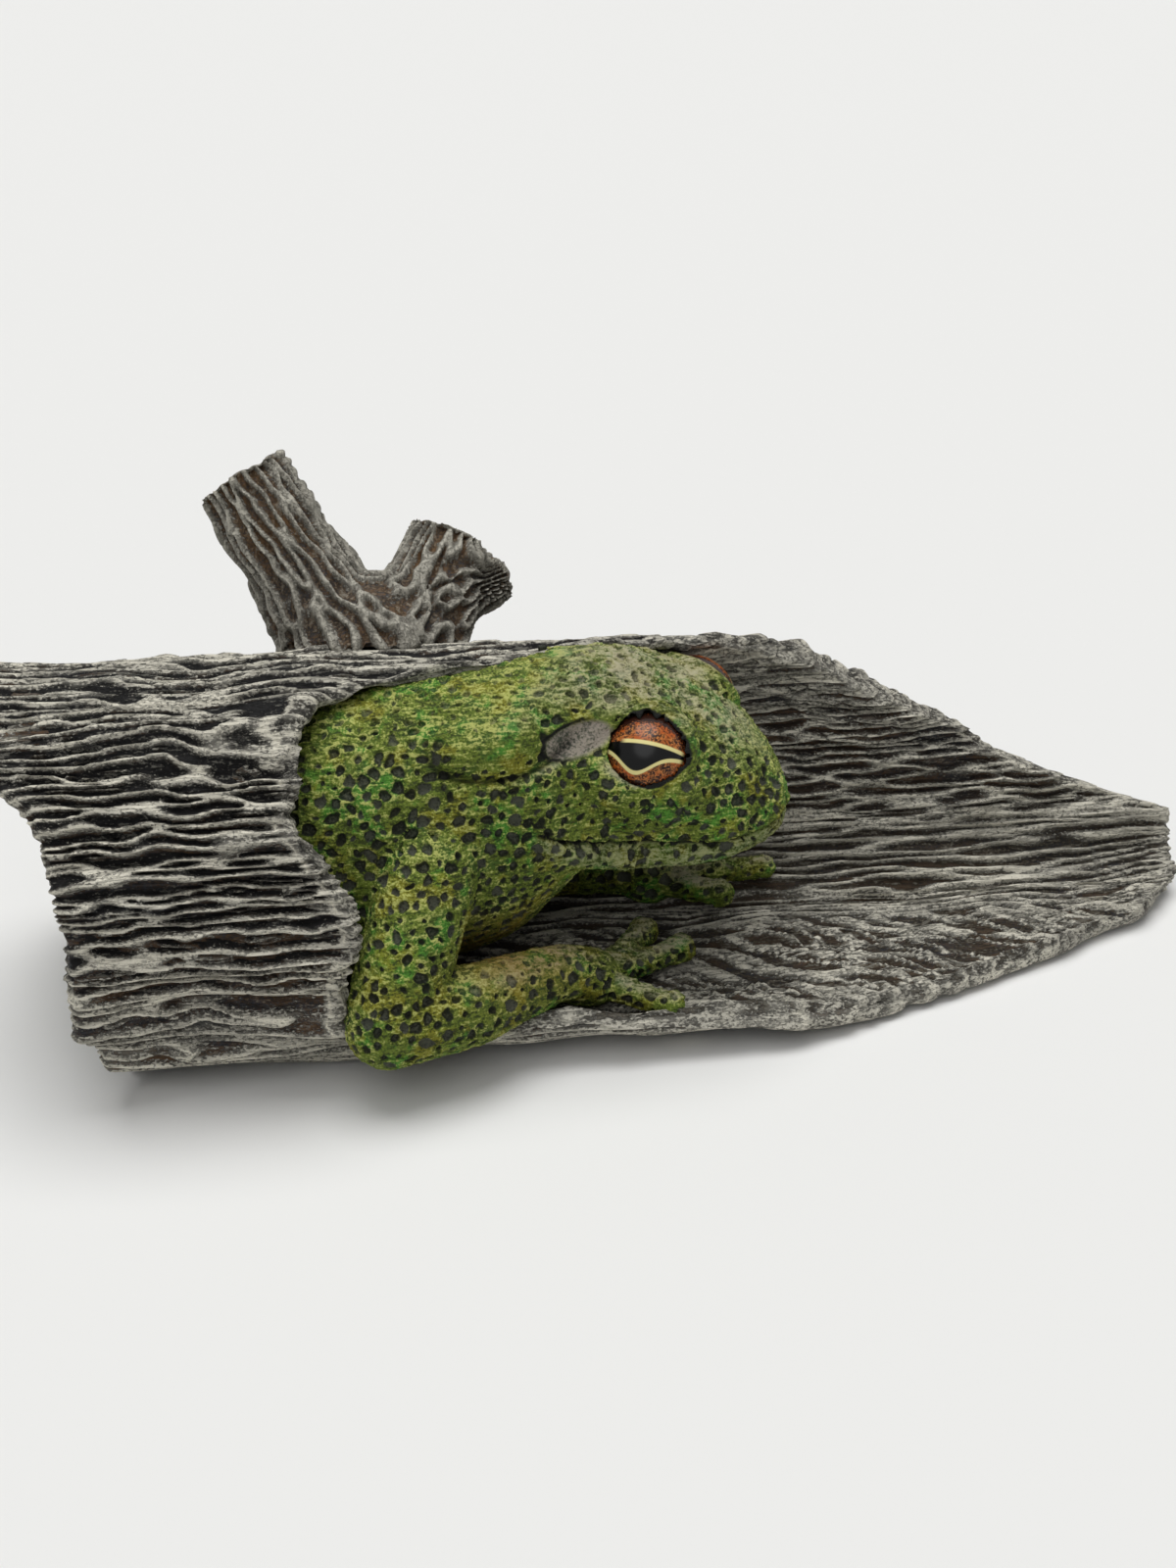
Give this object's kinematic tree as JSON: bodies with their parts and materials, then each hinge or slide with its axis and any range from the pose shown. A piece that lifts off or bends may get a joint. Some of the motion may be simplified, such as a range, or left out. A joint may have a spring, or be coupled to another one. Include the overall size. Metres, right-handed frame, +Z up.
{
  "type": "frog figurine",
  "caption": "Table ornament of a tree frog looking out of a hollow log, with a broken forked branch on the log's back and a felt-covered flat base.",
  "frame": {"origin": "on the felt's underside, below the log's axis, near the middle of the log's length", "axes": "+X along the log towards its torn open end, +Y towards the tall back wall, +Z up"},
  "size_m": [0.202, 0.0782, 0.0825],
  "materials": {
    "bark": "cast resin, charcoal with dry-brushed pale grey ridges",
    "frog_skin": "cast resin, hand-painted green with dark pits",
    "eye": "gloss orange iris with a black pupil",
    "pin_steel": "plain",
    "felt": "dark felt"
  },
  "bodies": {
    "root": {"hollow_log": "bark", "forked_branch": "bark", "branch_pin": "pin_steel", "frog_body": "frog_skin", "right_arm": "frog_skin", "left_arm": "frog_skin", "right_arm_pin": "pin_steel", "left_arm_pin": "pin_steel", "right_eye": "eye", "left_eye": "eye", "base_felt": "felt"}
  },
  "joints": []
}
